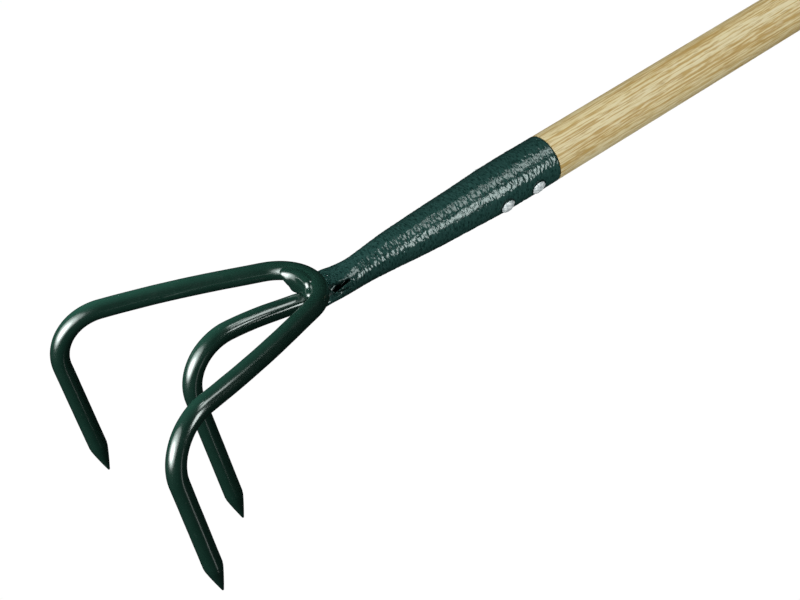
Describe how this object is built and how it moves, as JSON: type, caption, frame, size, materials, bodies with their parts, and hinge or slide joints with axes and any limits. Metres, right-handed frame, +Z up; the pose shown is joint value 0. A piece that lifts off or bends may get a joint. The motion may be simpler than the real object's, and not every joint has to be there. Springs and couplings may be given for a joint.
{
  "type": "hand cultivator",
  "caption": "Long-handled hand cultivator: steel rod tines bent down at right angles, a riveted sheet-steel socket and a straight round ash shaft.",
  "frame": {"origin": "centre of the flat disc on the butt end of the shaft, on the shaft's axis", "axes": "+X along the shaft from the butt to the head, +Z up with the tines pointing down, +Y to the left seen from the butt"},
  "size_m": [1.3623, 0.1346, 0.1327],
  "materials": {
    "ash_wood": "sanded pale ash with long straight grain, thin clear varnish",
    "socket_enamel": "dark green hammered enamel, semi-gloss, pebbled",
    "tine_enamel": "very dark green smooth gloss enamel",
    "rivet_metal": "bright domed rivet heads, lightly hammered"
  },
  "bodies": {
    "root": {"ash_shaft": "ash_wood", "socket": "socket_enamel", "outer_tines": "tine_enamel", "middle_tine": "tine_enamel", "crotch_weld": "tine_enamel", "under_weld": "tine_enamel", "rivet_front": "rivet_metal", "rivet_rear": "rivet_metal"}
  },
  "joints": []
}
